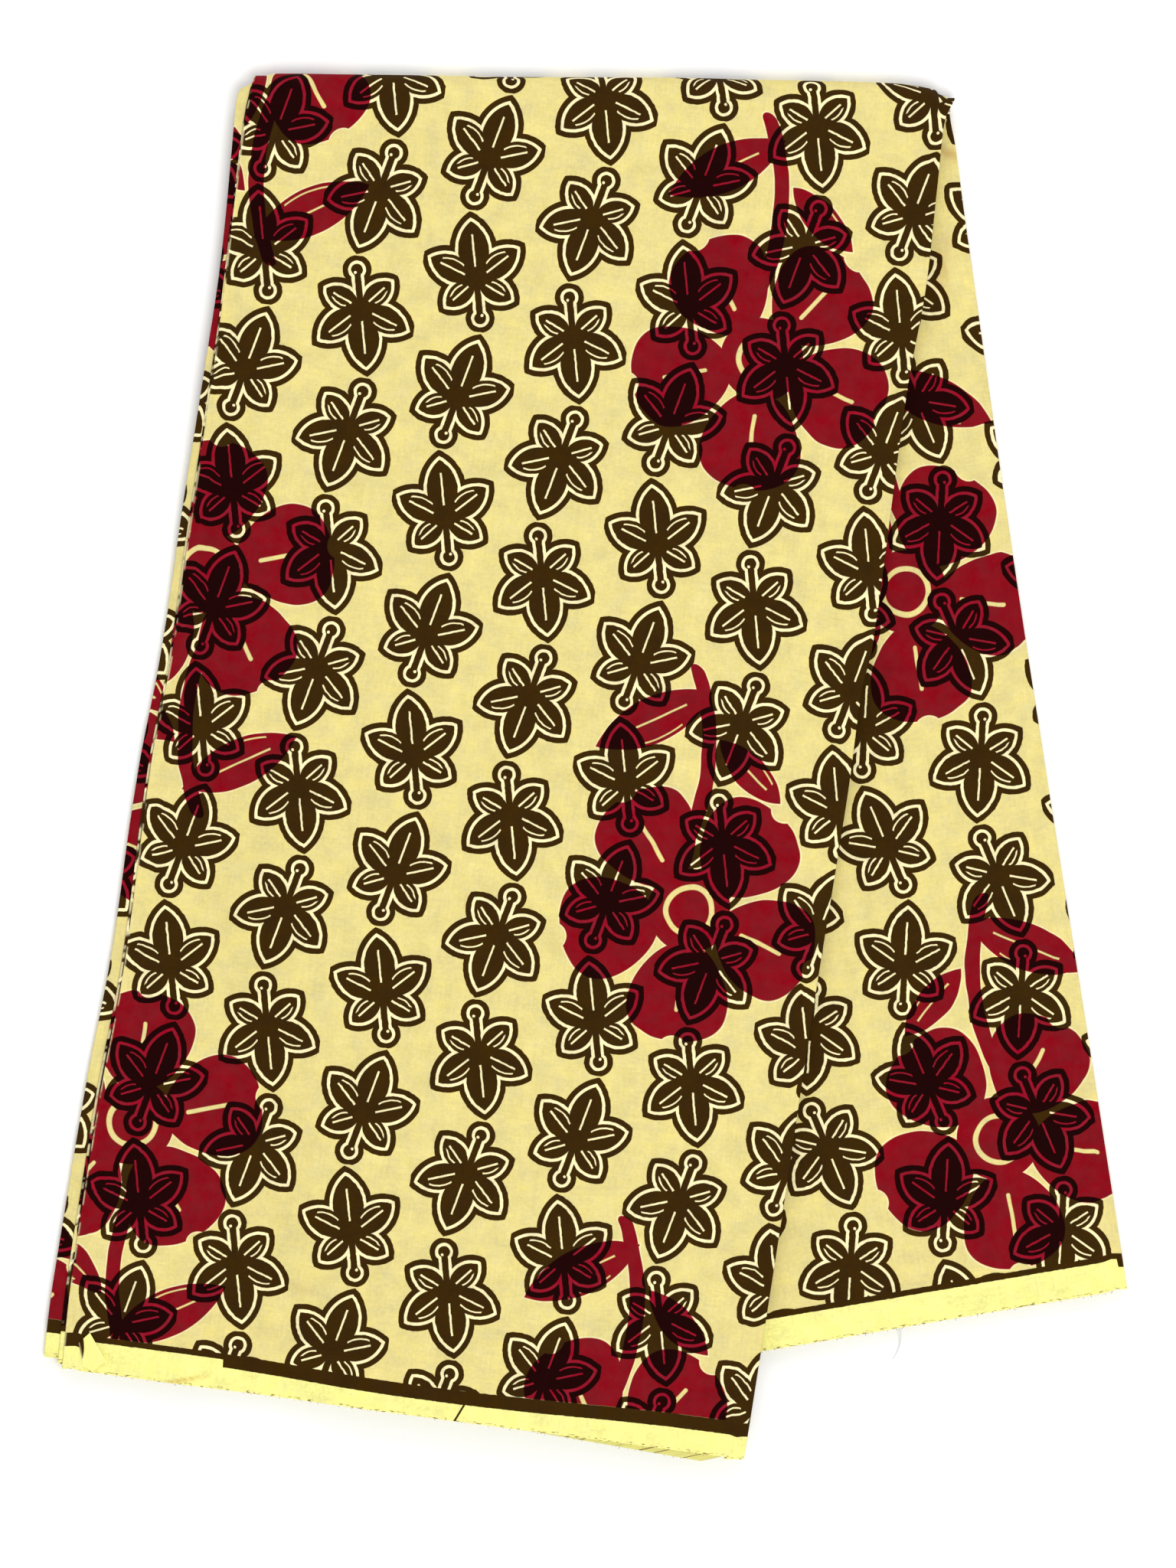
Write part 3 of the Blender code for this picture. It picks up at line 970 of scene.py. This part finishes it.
def thread_tree():
    """Short cut threads that stand out of a selvedge line."""
    tree, given, result = new_group(
        "selvedge_threads",
        {
            "Geometry": "Geometry", "Spacing": "Float", "Length": "Float", "Radius": "Float",
            "Seed": "Int", "Thread": "Material",
        },
        {"Geometry": "Geometry"},
        "GeometryNodeTree",
    )

    def add(kind, inputs, **settings):
        return add_node(tree, kind, inputs, **settings).outputs[0]

    def chance(kind, limits):
        inputs = {"Min": limits[0], "Max": limits[1], "Seed": given["Seed"]}
        return add_node(tree, "FunctionNodeRandomValue", inputs, data_type=kind).outputs["Value"]

    line = add("GeometryNodeMeshToCurve", {"Mesh": given["Geometry"]})
    roots = add(
        "GeometryNodeResampleCurve", {"Curve": line, "Length": given["Spacing"]}, mode="LENGTH"
    )
    outward = add("ShaderNodeMath", {0: given["Length"], 1: -1.0}, operation="MULTIPLY")
    tip = add("ShaderNodeCombineXYZ", {"Y": outward})
    path = add("GeometryNodeCurvePrimitiveLine", {"End": tip})
    section = add(
        "GeometryNodeCurvePrimitiveCircle",
        {"Resolution": THREAD_SIDES, "Radius": given["Radius"]},
    )
    thread = add(
        "GeometryNodeCurveToMesh", {"Curve": path, "Profile Curve": section, "Fill Caps": True}
    )
    threads = add(
        "GeometryNodeInstanceOnPoints",
        {
            "Points": roots,
            "Instance": thread,
            "Rotation": chance("FLOAT_VECTOR", THREAD_TURNS),
            "Scale": chance("FLOAT", THREAD_SIZES),
        },
    )
    real = add("GeometryNodeRealizeInstances", {"Geometry": threads})
    dyed = add("GeometryNodeSetMaterial", {"Geometry": real, "Material": given["Thread"]})
    feed(result["Geometry"], dyed)
    return tree


def selvedge_lines():
    """Lines along the lower edge of each sheet that shows its selvedge."""
    sheet_mid = FRONT_THICKNESS - 0.5 * CLOTH_THICKNESS
    peek_height = FRONT_STACK * (PEEKING_LAYER + 0.5) / FRONT_LAYER_COUNT
    lines = []
    for arm, ends, height, lifts, reach in (
        (FRONT, SHEET_ENDS, sheet_mid, FRONT_LIFTS, (0.08, 0.985)),
        (FRONT, PEEKING_ENDS, peek_height, (), (0.62, 0.93)),
        (REAR, REAR_ENDS, REAR_TOP - 0.5 * CLOTH_THICKNESS, REAR_LIFTS, (0.45, 0.99)),
    ):
        line = []
        for step in range(SELVEDGE_STEPS + 1):
            u = mix(*reach, step / SELVEDGE_STEPS)
            across, below = arm.place(u, 1.0, ends)
            height_here = height + lift_height(lifts, u, 0.0)
            line.append(arm.point(across, below - THREAD_ROOT, height_here))
        lines.append(line)
    return lines


def make_threads(material):
    mesh = bpy.data.meshes.new("selvedge_threads")
    points, edges = [], []
    for line in selvedge_lines():
        first = len(points)
        points.extend(line)
        edges.extend((first + k, first + k + 1) for k in range(len(line) - 1))
    mesh.from_pydata(points, edges, [])
    piece = linked_object("selvedge_threads", mesh)
    modifier = piece.modifiers.new("threads", "NODES")
    modifier.node_group = thread_tree()
    values = {
        "Spacing": THREAD_SPACING * MM,
        "Length": THREAD_LENGTH * MM,
        "Radius": THREAD_RADIUS * MM,
        "Seed": THREAD_SEED,
        "Thread": material,
    }
    for item in modifier.node_group.interface.items_tree:
        if item.in_out == "INPUT" and item.name in values:
            modifier[item.identifier] = values[item.name]
    finished(piece)
    add_loose_thread(piece)
    return piece


def add_loose_thread(piece):
    """One pulled thread that hangs from the rear selvedge down to the table."""
    curve = bpy.data.curves.new("loose_thread", "CURVE")
    curve.dimensions = "3D"
    curve.bevel_depth = LOOSE_THREAD_RADIUS * MM
    curve.bevel_resolution = 1
    curve.use_fill_caps = True
    spline = curve.splines.new("NURBS")
    spline.points.add(len(LOOSE_THREAD) - 1)
    spline.use_endpoint_u = True
    spline.order_u = 4
    for k, (across, below) in enumerate(LOOSE_THREAD):
        fallen = eased(k / (len(LOOSE_THREAD) - LOOSE_THREAD_REST))
        height = mix(REAR_TOP - THREAD_ROOT, LOOSE_THREAD_RADIUS, fallen)
        spline.points[k].co = (*at(across, below, height), 1.0)
    tube = linked_object("loose_thread", curve)
    depsgraph = bpy.context.evaluated_depsgraph_get()
    joined = bmesh.new()
    joined.from_mesh(piece.data)
    joined.from_mesh(bpy.data.meshes.new_from_object(tube.evaluated_get(depsgraph)))
    joined.to_mesh(piece.data)
    joined.free()
    bpy.data.objects.remove(tube)
    piece.data.shade_smooth()


# Fields of the print


class Field:
    """A number that varies over the cloth. Arithmetic on it adds Math nodes to its tree."""

    def __init__(self, socket):
        self.socket = socket
        self.tree = socket.id_data

    def math(self, operation, *others):
        return math_node(self.tree, operation, self, *others)

    def __add__(self, other):
        return self.math("ADD", other)

    def __sub__(self, other):
        return self.math("SUBTRACT", other)

    def __rsub__(self, other):
        return math_node(self.tree, "SUBTRACT", other, self)

    def __mul__(self, other):
        return self.math("MULTIPLY", other)

    def __abs__(self):
        return self.math("ABSOLUTE")


def math_node(tree, operation, *values, clamp=False):
    settings = {"operation": operation, "use_clamp": clamp}
    return Field(add_node(tree, "ShaderNodeMath", enumerate(values), **settings).outputs[0])


def least(first, *others):
    for other in others:
        first = first.math("MINIMUM", other)
    return first


def most(first, *others):
    for other in others:
        first = first.math("MAXIMUM", other)
    return first


def distance(x, y):
    return (x * x + y * y).math("SQRT")


def inside(shape, softness=PRINT_EDGE):
    """One within a shape, where its distance is below zero, with a soft edge."""
    return math_node(shape.tree, "MULTIPLY_ADD", shape, -1.0 / softness, 0.5, clamp=True)


def parts(vector):
    """A vector's first two parts."""
    node = add_node(vector.id_data, "ShaderNodeSeparateXYZ", {0: vector})
    return Field(node.outputs["X"]), Field(node.outputs["Y"])


def turned(x, y, middle, lean):
    """Coordinates of a motif's own part: its middle, and its lean from upright in degrees."""
    inputs = {
        "Vector": add_node(x.tree, "ShaderNodeCombineXYZ", {"X": x, "Y": y}).outputs[0],
        "Location": (*middle, 0.0),
        "Rotation": (0.0, 0.0, -math.radians(lean)),
    }
    return parts(add_node(x.tree, "ShaderNodeMapping", inputs, vector_type="TEXTURE").outputs[0])


def half_drop(x, y, repeat):
    """Coordinates within a repeat, every other column dropped by half and turned round."""
    width, height = repeat
    column = (x * (1.0 / width)).math("FLOOR")
    odd = column.math("FLOORED_MODULO", 2.0)
    x = x - (column + 0.5) * width
    y = y + odd * (0.5 * height)
    row = (y * (1.0 / height)).math("FLOOR")
    y = y - (row + 0.5) * height
    turn = 1.0 - odd * 2.0
    return x * turn, y * turn, row


def leaf_shape(x, y, leaf):
    """Distances to a pointed leaf that stands along y, and to the pale lines on it."""
    reach = (leaf.half_length**2 + leaf.half_width**2) / (2.0 * leaf.half_width)
    aside = abs(x)
    edge = distance(aside + (reach - leaf.half_width), y) - reach
    rib = most(aside - RIB_HALF_WIDTH, abs(y) - RIB_SHARE * leaf.half_length)
    shine = most(abs(edge + SHINE_INSET) - SHINE_HALF_WIDTH, x + SHINE_INSET)
    shine = most(shine, abs(y - SHINE_RISE * leaf.half_length) - SHINE_SHARE * leaf.half_length)
    return edge, least(rib, shine)


def leaf_shapes(x, y, leaves):
    """Distances to each of a motif's leaves, and to the pale lines on each."""
    return zip(*(
        leaf_shape(*turned(x, y, (leaf.across, leaf.up), leaf.lean), leaf) for leaf in leaves
    ))


def span_shape(x, span):
    """Distance to the stretch between two places along x."""
    return abs(x - 0.5 * (span[0] + span[1])) - 0.5 * (span[1] - span[0])


def stem_shape(x, y, span, half_width):
    """Distance to an upright round-ended stem between two heights."""
    return distance(x, most(span_shape(y, span), 0.0)) - half_width


def sprig_shapes(x, y):
    """Distances to the dark sprig of leaves and to the pale lines within it."""
    aside = abs(x)
    edges, lines = leaf_shapes(aside, y, SPRIG_LEAVES)
    stem = stem_shape(aside, y, SPRIG_STEM, STEM_HALF_WIDTH)
    berry = distance(aside, y - SPRIG_STEM[0]) - BERRY_RADIUS
    hub = distance(x, y - SPRIG_HUB[0]) - SPRIG_HUB[1]
    shine_up = y - (SPRIG_STEM[0] + BERRY_SHINE[1])
    shine = distance(x - BERRY_SHINE[0], shine_up) - 2.0 * SHINE_HALF_WIDTH
    return least(*edges, stem, berry, hub), least(*lines, shine)


def flower_shapes(x, y):
    """Distances to the large flower with its stem and leaves, and to the bare lines in it."""
    radius = distance(x, y)
    sector = 2.0 * math.pi / PETALS
    turn = math_node(x.tree, "ARCTAN2", x, y).math("WRAP", 0.5 * sector, -0.5 * sector)
    forth = radius * turn.math("COSINE")
    aside = radius * turn.math("SINE")
    flare = PETAL_FLARE[0] - forth * PETAL_FLARE[1]
    petal = distance(forth - PETAL_REACH, aside * flare) - PETAL_RADIUS
    notch = PETAL_NOTCH[1] - distance(forth - PETAL_NOTCH[0], aside)
    heart = radius - FLOWER_HEART
    ring = abs(radius - HEART_RING[0]) - HEART_RING[1]
    vein = stem_shape(aside, forth, PETAL_VEIN[:2], PETAL_VEIN[2])
    bloom = least(most(petal, notch), heart)
    middle = y - 0.5 * (FLOWER_STEM[0] + FLOWER_STEM[1])
    bowed = x - middle * middle * FLOWER_STEM_BOW
    stem = stem_shape(bowed, y, FLOWER_STEM, FLOWER_STEM_HALF_WIDTH)
    edges, lines = leaf_shapes(x, y, FLOWER_LEAVES)
    return least(bloom, stem, *edges), least(ring, vein, *lines)


def noise_field(vector, grain, stretch=None):
    """Noise of a grain, on coordinates that are first stretched where asked."""
    tree = vector.id_data
    if stretch:
        stretched = {"Vector": vector, "Scale": stretch}
        vector = add_node(tree, "ShaderNodeMapping", stretched).outputs[0]
    inputs = {
        "Vector": vector, "Scale": grain.scale, "Detail": grain.detail,
        "Roughness": grain.roughness,
    }
    return Field(add_node(tree, "ShaderNodeTexNoise", inputs).outputs["Fac"])


def blended(share, first, second, way="MIX"):
    """The first colour, turning to the second as the share goes to one."""
    inputs = {"Factor": share, "A": first, "B": second}
    node = add_node(share.tree, "ShaderNodeMix", inputs, data_type="RGBA", blend_type=way)
    return node.outputs["Result"]


# Shader groups


def print_group():
    """The printed colours, from a place on the flat cloth in metres."""
    tree, given, result = new_group(
        "wax_print", {"Cloth": "Vector"}, {"Colour": "Color", "Dye": "Float"}
    )
    cloth = given["Cloth"]
    x, y = (part * (1.0 / MM) for part in parts(cloth))
    wobble = (noise_field(cloth, WOBBLE_GRAIN) - 0.5) * PRINT_WOBBLE

    sprig_x, sprig_y, row = half_drop(x + wobble, y + wobble, SPRIG_REPEAT)
    tilt = (row.math("FLOORED_MODULO", 2.0) * 2.0 - 1.0) * math.radians(SPRIG_TILT)
    cosine, sine = tilt.math("COSINE"), tilt.math("SINE")
    tilted_x = sprig_x * cosine + sprig_y * sine
    tilted_y = sprig_y * cosine - sprig_x * sine
    sprig, veins = sprig_shapes(tilted_x, tilted_y)

    from_edge = least(y, CLOTH_WIDTH - y)
    near_half = inside(y - 0.5 * CLOTH_WIDTH)
    near_plate = inside(span_shape(x, NEAR_PLATE)) * near_half
    far_plate = inside(span_shape(x, FAR_PLATE)) * (1.0 - near_half)
    stripe_start = most(near_plate, far_plate) * PLATE_RISE + SELVEDGE_WIDTH + wobble
    middle, reach, depth = STRIPE_BOW
    off_middle = (x - middle) * (1.0 / reach)
    bow = most(1.0 - off_middle * off_middle, 0.0)
    bowed = from_edge + bow * bow * near_half * depth
    below_top = bowed + (wobble - STRIPE_TOP)
    bare = inside(bowed - stripe_start)
    stripe = inside(below_top) - bare

    speckle = inside(SPECK_CUT - noise_field(cloth, SPECK_GRAIN, SPECK_STRETCH), SPECK_SOFTNESS)
    specks = speckle * inside(from_edge - SPECK_BAND, SPECK_BAND_SOFTNESS)
    place, lean, span, half_width = SLANTED_MARK
    mark = inside(stem_shape(*turned(x, y, place, lean), span, half_width)) * near_half

    outline = inside(sprig - (PALE_LINE + DARK_LINE))
    contour = inside(sprig - PALE_LINE)
    core = inside(sprig)
    light_line = least(inside(veins), core)

    sway = noise_field(cloth, SWAY_GRAIN) * FLOWER_WOBBLE
    flower_x, flower_y, _ = half_drop(x + FLOWER_START[0], y + FLOWER_START[1], FLOWER_REPEAT)
    flower, bare_lines = flower_shapes(flower_x + sway, flower_y + sway)
    petals = inside(flower, FLOWER_EDGE)
    crimson = petals * (1.0 - inside(bare_lines, FLOWER_EDGE) * (1.0 - outline))
    rim = inside(flower - FLOWER_RIM, FLOWER_EDGE) - petals

    ink = blended(rim, GROUND_YELLOW, PALE_CONTOUR)
    for share, dye in (
        (outline, DARK_BROWN),
        (contour, PALE_CONTOUR),
        (core, DARK_BROWN),
        (light_line, PALE_CONTOUR),
        (bare, SELVEDGE_YELLOW),
        (most(stripe, mark), DARK_BROWN),
        (specks * SPECK_STRENGTH, SPECK_BROWN),
    ):
        ink = blended(share, ink, dye)
    over = crimson * (1.0 - inside(below_top))
    feed(result["Colour"], blended(over, ink, CRIMSON_DYE, "MULTIPLY"))
    feed(result["Dye"], most(over, outline))
    return tree


def weave_group():
    """Plain weave of fine threads, with thick and thin ones, and its light and dark."""
    tree, given, result = new_group(
        "plain_weave",
        {"Cloth": "Vector", "Warp pitch": "Float", "Weft pitch": "Float"},
        {"Height": "Float", "Shade": "Float"},
    )
    cloth = given["Cloth"]
    warp, weft = (
        (part * (2.0 * math.pi / MM)).math("DIVIDE", given[pitch]) * 0.5
        for part, pitch in zip(parts(cloth), ("Warp pitch", "Weft pitch"))
    )
    threads = abs(warp.math("SINE")) * 0.5 + abs(weft.math("SINE")) * 0.5
    over_under = warp.math("COSINE") * weft.math("COSINE")
    warp_slubs, weft_slubs = (
        noise_field(cloth, SLUB_GRAIN, stretch) for stretch in SLUB_STRETCHES
    )
    slub = warp_slubs + weft_slubs
    feed(result["Height"], threads + over_under * OVER_UNDER + slub * SLUB_HEIGHT)
    feed(result["Shade"], slub * 0.5)
    return tree


def handling_group():
    """Marks of folding and handling: cloudy tint, uneven depth of the dye, fine crumples."""
    tree, given, result = new_group(
        "handled_cloth",
        {"Cloth": "Vector"},
        {"Tint": "Float", "Depth": "Float", "Crumple": "Float"},
    )
    clouds, flecks, faded, wide, close = (
        noise_field(given["Cloth"], grain) for grain in HANDLING_GRAINS
    )
    tint = clouds * CLOUD_SHARE + flecks * (1.0 - CLOUD_SHARE)
    feed(result["Tint"], tint)
    feed(result["Depth"], (tint - 0.5) * TINT_DEPTH + (faded - 0.5) * FADED_DEPTH)
    feed(result["Crumple"], wide + close * CLOSE_CRUMPLE)
    return tree


def wear_and_highlight_group():
    """Pale dashes along a fold, where the dye has come off and where a highlight is painted on the
    fold's edge.
    """
    tree, given, result = new_group(
        "fold_wear_and_highlight", {"Cloth": "Vector", "From fold": "Float"}, {"Worn and highlit": "Float"}
    )
    dashes = inside(0.5 - noise_field(given["Cloth"], WEAR_AND_HIGHLIGHT_GRAIN, WEAR_AND_HIGHLIGHT_STRETCH), DASH_SOFTNESS)
    near = inside(Field(given["From fold"]) - FOLD_WEAR_AND_HIGHLIGHT_REACH, FOLD_WEAR_AND_HIGHLIGHT_SOFTNESS)
    feed(result["Worn and highlit"], near * dashes)
    return tree


# Materials

GROUPS = {
    "print": print_group(),
    "weave": weave_group(),
    "handling": handling_group(),
    "wear": wear_and_highlight_group(),
}


def new_material(name):
    """A material, its tree and its shader's inputs."""
    material = bpy.data.materials.new(name)
    material.use_nodes = True
    return material, material.node_tree, material.node_tree.nodes["Principled BSDF"].inputs


def cotton(finish):
    """Printed cotton: the print, tinted by handling, with pale fold dashes of lost dye and a
    painted highlight, and a painted tan shade in tight creases, over a woven and slightly crumpled
    face.
    """
    material, tree, shader = new_material(finish.name)
    cloth = add_node(tree, "ShaderNodeUVMap", uv_map="cloth").outputs[0]

    def from_group(key, inputs=()):
        inputs = {"Cloth": cloth, **dict(inputs)}
        return add_node(tree, "ShaderNodeGroup", inputs, node_tree=GROUPS[key]).outputs

    def attribute(name):
        return add_node(tree, "ShaderNodeAttribute", attribute_name=name).outputs["Fac"]

    def bump(distance, height, inputs=()):
        inputs = {"Distance": distance * MM, "Height": height, **dict(inputs)}
        return add_node(tree, "ShaderNodeBump", inputs).outputs[0]

    printed = from_group("print")
    weave = from_group("weave", {"Warp pitch": WARP_PITCH, "Weft pitch": WEFT_PITCH})
    handled = from_group("handling")
    wear = from_group("wear", {"From fold": attribute("from_fold")})
    dye = Field(printed["Dye"])
    woven = Field(weave["Shade"])
    tint = Field(handled["Tint"])

    brightness = tint * (finish.tint_high - finish.tint_low) + finish.tint_low
    brightness = brightness + (woven - 0.5) * finish.slub + (tint - 0.5) * finish.mottle * dye
    depth = Field(handled["Depth"]) * (1.0 - dye * DYE_HOLD) * finish.depth
    # Pale dashes along folds: lost dye and a painted highlight on the fold's edge
    fold_dashed_colour = blended(Field(wear["Worn and highlit"]) * finish.wear, printed["Colour"], PALE_CONTOUR)
    # Painted tan shade in tight creases, darker where they are deeper
    painted_crease_shade = math_node(tree, "MULTIPLY", attribute("trough"), CREASE_SHADE_STRENGTH, clamp=True)
    tinted = {
        "Color": blended(painted_crease_shade, fold_dashed_colour, CREASE_SHADE_TAN, "MULTIPLY"),
        "Value": brightness,
        "Saturation": depth + 1.0,
    }
    feed(shader["Base Color"], add_node(tree, "ShaderNodeHueSaturation", tinted).outputs[0])

    rough = (woven - 0.5) * WEAVE_ROUGHNESS + finish.roughness
    feed(shader["Roughness"], rough - dye * DYE_SMOOTHING)
    feed(shader["Sheen Weight"], finish.sheen)
    feed(shader["Sheen Roughness"], SHEEN_ROUGHNESS)
    feed(shader["Specular IOR Level"], COTTON_SPECULAR)
    crumpled = bump(finish.crumple, handled["Crumple"])
    feed(shader["Normal"], bump(finish.thread, weave["Height"], {"Normal": crumpled}))
    return material


def thread_cotton():
    material, tree, shader = new_material("thread_cotton")
    fuzz = noise_field(tree.nodes.new("ShaderNodeTexCoord").outputs["Object"], FUZZ_GRAIN)
    feed(shader["Base Color"], blended(fuzz, THREAD_COLOUR, DARK_BROWN))
    feed(shader["Roughness"], fuzz * FUZZ_ROUGHNESS + THREAD_ROUGHNESS)
    return material


# Stage, light and camera


def make_stage():
    mesh = bpy.data.meshes.new("floor")
    sides = ((-1, -1), (1, -1), (1, 1), (-1, 1))
    corners = [(x * FLOOR_HALF_SIZE, y * FLOOR_HALF_SIZE, -FLOOR_GAP * MM) for x, y in sides]
    mesh.from_pydata(corners, [], [(0, 1, 2, 3)])
    material, _, shader = new_material("pale_floor")
    feed(shader["Base Color"], (*[FLOOR_GREY] * 3, 1.0))
    feed(shader["Roughness"], FLOOR_ROUGHNESS)
    feed(shader["Specular IOR Level"], FLOOR_SPECULAR)
    mesh.materials.append(material)
    linked_object("floor", mesh)


def make_light():
    world = bpy.data.worlds.new("studio")
    world.use_nodes = True
    background = world.node_tree.nodes["Background"].inputs
    feed(background["Color"], (1.0, 1.0, 1.0, 1.0))
    feed(background["Strength"], WORLD_STRENGTH)
    bpy.context.scene.world = world
    for lamp in LAMPS:
        light = bpy.data.lights.new(lamp.name, "AREA")
        light.shape = "DISK"
        light.size = lamp.size
        light.energy = lamp.power
        holder = linked_object(lamp.name, light)
        holder.location = lamp.place
        holder.rotation_euler = (-Vector(lamp.place)).to_track_quat("-Z", "Y").to_euler()
    bpy.context.scene.view_settings.view_transform = "Standard"


def make_camera():
    camera = bpy.data.cameras.new("camera")
    camera.sensor_width = SENSOR
    reach = CAMERA_HEIGHT - FOCUS_HEIGHT
    camera.lens = SENSOR * reach / (PHOTO_HEIGHT * MM_PER_PIXEL * MM)
    holder = linked_object("camera", camera)
    holder.location = (CAMERA_OFFSET[0] * MM, CAMERA_OFFSET[1] * MM, CAMERA_HEIGHT)
    bpy.context.scene.camera = holder


# Making the pieces

Made = namedtuple("Made", "piece nodes slot flat rests_on")


def main():
    materials = {slot: cotton(finish) for slot, finish in FINISHES.items()}
    for made in (
        Made(make_rear_layers(), ["rear_layers"], "layer_edges", (0.3134, 0.60), "floor"),
        Made(make_rear_sheet(), ["rear_sheet"], "printed_cotton", (0.3314, 0.60),
             "rear_hidden_layers"),
        Made(make_front_layers(), ["front_layers", "top_fold"], "layer_edges", (0.3190, 0.63),
             "rear_top_sheet"),
        Made(make_outer_pleat(), ["left_pleat_outer"], "printed_cotton", (0.3190, 0.63),
             "front_hidden_layers"),
        Made(make_inner_pleat(), ["left_pleat_inner"], "printed_cotton", (0.3150, 0.63),
             "left_outer_pleat"),
        Made(make_front_sheet(), ["front_sheet"], "printed_cotton", (0.3314, 0.64),
             "left_inner_pleat"),
        Made(make_dog_ear(), ["turned_corner"], "cotton_reverse", (0.0115, 0.0130),
             "front_top_sheet"),
    ):
        made.piece.data.materials.clear()
        made.piece.data.materials.append(materials[made.slot])
        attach(made.piece, "root")
        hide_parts(*made.nodes)

    threads = make_threads(thread_cotton())
    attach(threads, "root")


make_camera()
make_light()
make_stage()
main()
